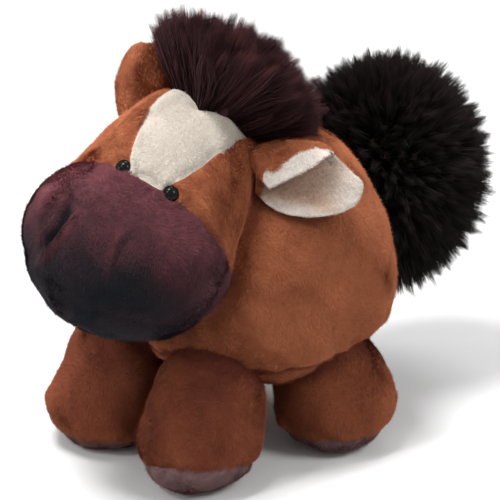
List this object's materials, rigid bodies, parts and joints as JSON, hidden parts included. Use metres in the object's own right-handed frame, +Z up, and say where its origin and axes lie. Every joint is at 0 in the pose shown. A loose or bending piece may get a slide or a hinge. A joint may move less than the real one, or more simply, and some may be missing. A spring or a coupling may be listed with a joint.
{
  "type": "plush horse",
  "caption": "Small stuffed horse with a round body, turned head, wide muzzle, bead eyes, furry mane and plume tail on stub legs.",
  "frame": {"origin": "on the floor under the centre of the whole horse", "axes": "+Z up, the horse faces -Y, and its own left side is +X"},
  "size_m": [0.1328, 0.25, 0.192],
  "materials": {
    "brown_plush": "short plush pile",
    "plum_plush": "short plush pile",
    "cream_plush": "short plush pile",
    "long_pile": "long soft fur",
    "filling": "polyester fibre",
    "bead": "polished",
    "washer": "moulded"
  },
  "bodies": {
    "body": {"body_side_left": "brown_plush", "body_side_right": "brown_plush", "belly_gusset": "brown_plush", "body_filling": "filling", "muzzle_upper": "plum_plush", "muzzle_chin": "plum_plush", "head_side_left": "brown_plush", "head_side_right": "brown_plush", "face_blaze": "cream_plush", "mane_strip": "long_pile", "mane_pile": "long_pile", "head_filling": "filling", "eye_left": "bead", "eye_right": "bead", "eye_washer_left": "washer", "eye_washer_right": "washer"},
    "ear_left": {"ear_left_back": "brown_plush", "ear_left_lining": "cream_plush"},
    "ear_right": {"ear_right_back": "brown_plush", "ear_right_lining": "cream_plush"},
    "tail_root": {"tail_tab": "long_pile"},
    "tail": {"tail_core": "filling", "tail_pile": "long_pile"},
    "leg_front_left": {"leg_front_left_fabric": "brown_plush", "leg_front_left_sole": "plum_plush", "leg_front_left_filling": "filling"},
    "leg_front_right": {"leg_front_right_fabric": "brown_plush", "leg_front_right_sole": "plum_plush", "leg_front_right_filling": "filling"},
    "leg_rear_left": {"leg_rear_left_fabric": "brown_plush", "leg_rear_left_sole": "plum_plush", "leg_rear_left_filling": "filling"},
    "leg_rear_right": {"leg_rear_right_fabric": "brown_plush", "leg_rear_right_sole": "plum_plush", "leg_rear_right_filling": "filling"}
  },
  "joints": [
    {"name": "ear_left_flap", "type": "hinge", "parent": "body", "child": "ear_left", "pos_m": [0.03347, -0.02892, 0.13237], "axis": [-0.1275, 0.3708, 0.9199], "range_deg": [-25, 4], "stiffness_Nm_per_rad": 0.01},
    {"name": "ear_right_flap", "type": "hinge", "parent": "body", "child": "ear_right", "pos_m": [-0.01592, -0.05143, 0.1543], "axis": [-0.4164, -0.5052, 0.7559], "range_deg": [-20, 20], "stiffness_Nm_per_rad": 0.01},
    {"name": "tail_lift", "type": "hinge", "parent": "body", "child": "tail_root", "pos_m": [0, 0.03902, 0.11494], "axis": [1, 0, 0], "range_deg": [-15, 15], "stiffness_Nm_per_rad": 0.5},
    {"name": "tail_sway", "type": "hinge", "parent": "tail_root", "child": "tail", "pos_m": [0, 0.04292, 0.11719], "axis": [0, -0.5, 0.866], "range_deg": [-20, 20], "stiffness_Nm_per_rad": 0.2},
    {"name": "leg_front_left_swing", "type": "hinge", "parent": "body", "child": "leg_front_left", "pos_m": [0.0275, -0.05085, 0.04401], "axis": [1, 0, 0], "range_deg": [-10, 10], "stiffness_Nm_per_rad": 0.4},
    {"name": "leg_front_right_swing", "type": "hinge", "parent": "body", "child": "leg_front_right", "pos_m": [-0.0275, -0.05085, 0.04401], "axis": [1, 0, 0], "range_deg": [-10, 10], "stiffness_Nm_per_rad": 0.4},
    {"name": "leg_rear_left_swing", "type": "hinge", "parent": "body", "child": "leg_rear_left", "pos_m": [0.03779, 0.00666, 0.03799], "axis": [1, 0, 0], "range_deg": [-10, 10], "stiffness_Nm_per_rad": 0.4},
    {"name": "leg_rear_right_swing", "type": "hinge", "parent": "body", "child": "leg_rear_right", "pos_m": [-0.03779, 0.00666, 0.03799], "axis": [1, 0, 0], "range_deg": [-10, 10], "stiffness_Nm_per_rad": 0.4}
  ]
}
